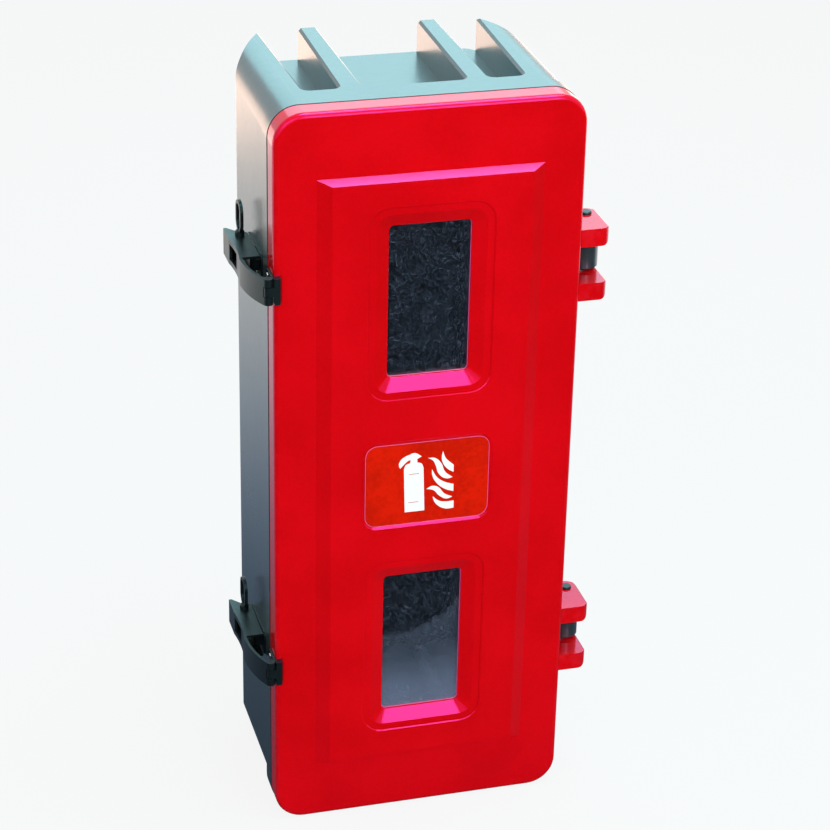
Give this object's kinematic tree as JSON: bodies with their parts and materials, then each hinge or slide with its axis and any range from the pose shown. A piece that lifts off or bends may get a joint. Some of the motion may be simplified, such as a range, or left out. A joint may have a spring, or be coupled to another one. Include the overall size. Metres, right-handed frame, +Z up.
{
  "type": "fire extinguisher cabinet",
  "caption": "Upright plastic cabinet for a fire extinguisher: hollow ribbed tub, hinged red door with two windows and a sign, swinging side latches with ring pins.",
  "frame": {"origin": "On the flat back face, at the centre of the four fixing holes, half way up and on the cabinet's centre line.", "axes": "+Z is up, +Y points out of the back towards what the cabinet is fixed to, and the door faces -Y."},
  "size_m": [0.3525, 0.258, 0.765],
  "materials": {
    "red_plastic": "semi-gloss moulded plastic with a fine grain",
    "black_plastic": "satin moulded plastic with a fine grain",
    "latch_plastic": "satin moulded nylon",
    "clear_pane": "clear polycarbonate sheet",
    "sign_face": "printed plastic sign",
    "seal_rubber": "soft black foam rubber",
    "pin_steel": "plain steel pin"
  },
  "bodies": {
    "cabinet": {"body_tub": "black_plastic", "body_seal": "seal_rubber", "latch_keeper_upper": "latch_plastic", "latch_keeper_lower": "latch_plastic"},
    "door_leaf": {"door": "red_plastic", "window_pane_upper": "clear_pane", "window_pane_lower": "clear_pane", "pane_clips_upper": "latch_plastic", "pane_clips_lower": "latch_plastic", "sign_plate": "sign_face", "hinge_pin_upper": "latch_plastic", "hinge_pin_lower": "latch_plastic", "latch_anchor_upper": "latch_plastic", "latch_anchor_lower": "latch_plastic"},
    "latch_upper": {"latch_arm_upper": "latch_plastic", "latch_pivot_pin_upper": "pin_steel"},
    "latch_lower": {"latch_arm_lower": "latch_plastic", "latch_pivot_pin_lower": "pin_steel"},
    "ring_upper": {"ring_pin_upper": "latch_plastic"},
    "ring_lower": {"ring_pin_lower": "latch_plastic"}
  },
  "joints": [
    {"name": "door_hinge", "type": "hinge", "parent": "cabinet", "child": "door_leaf", "pos_m": [0.1675, -0.205, 0], "axis": [0, 0, 1], "range_deg": [0, 170]},
    {"name": "latch_swing_upper", "type": "hinge", "parent": "door_leaf", "child": "latch_upper", "pos_m": [-0.15509, -0.25215, 0.213], "axis": [0, 0, 1], "range_deg": [0, 80]},
    {"name": "latch_swing_lower", "type": "hinge", "parent": "door_leaf", "child": "latch_lower", "pos_m": [-0.15509, -0.25215, -0.201], "axis": [0, 0, 1], "range_deg": [0, 80]},
    {"name": "ring_lift_upper", "type": "slide", "parent": "latch_upper", "child": "ring_upper", "axis": [0, 0, 1], "range_m": [0, 0.012]},
    {"name": "ring_lift_lower", "type": "slide", "parent": "latch_lower", "child": "ring_lower", "axis": [0, 0, 1], "range_m": [0, 0.012]}
  ]
}
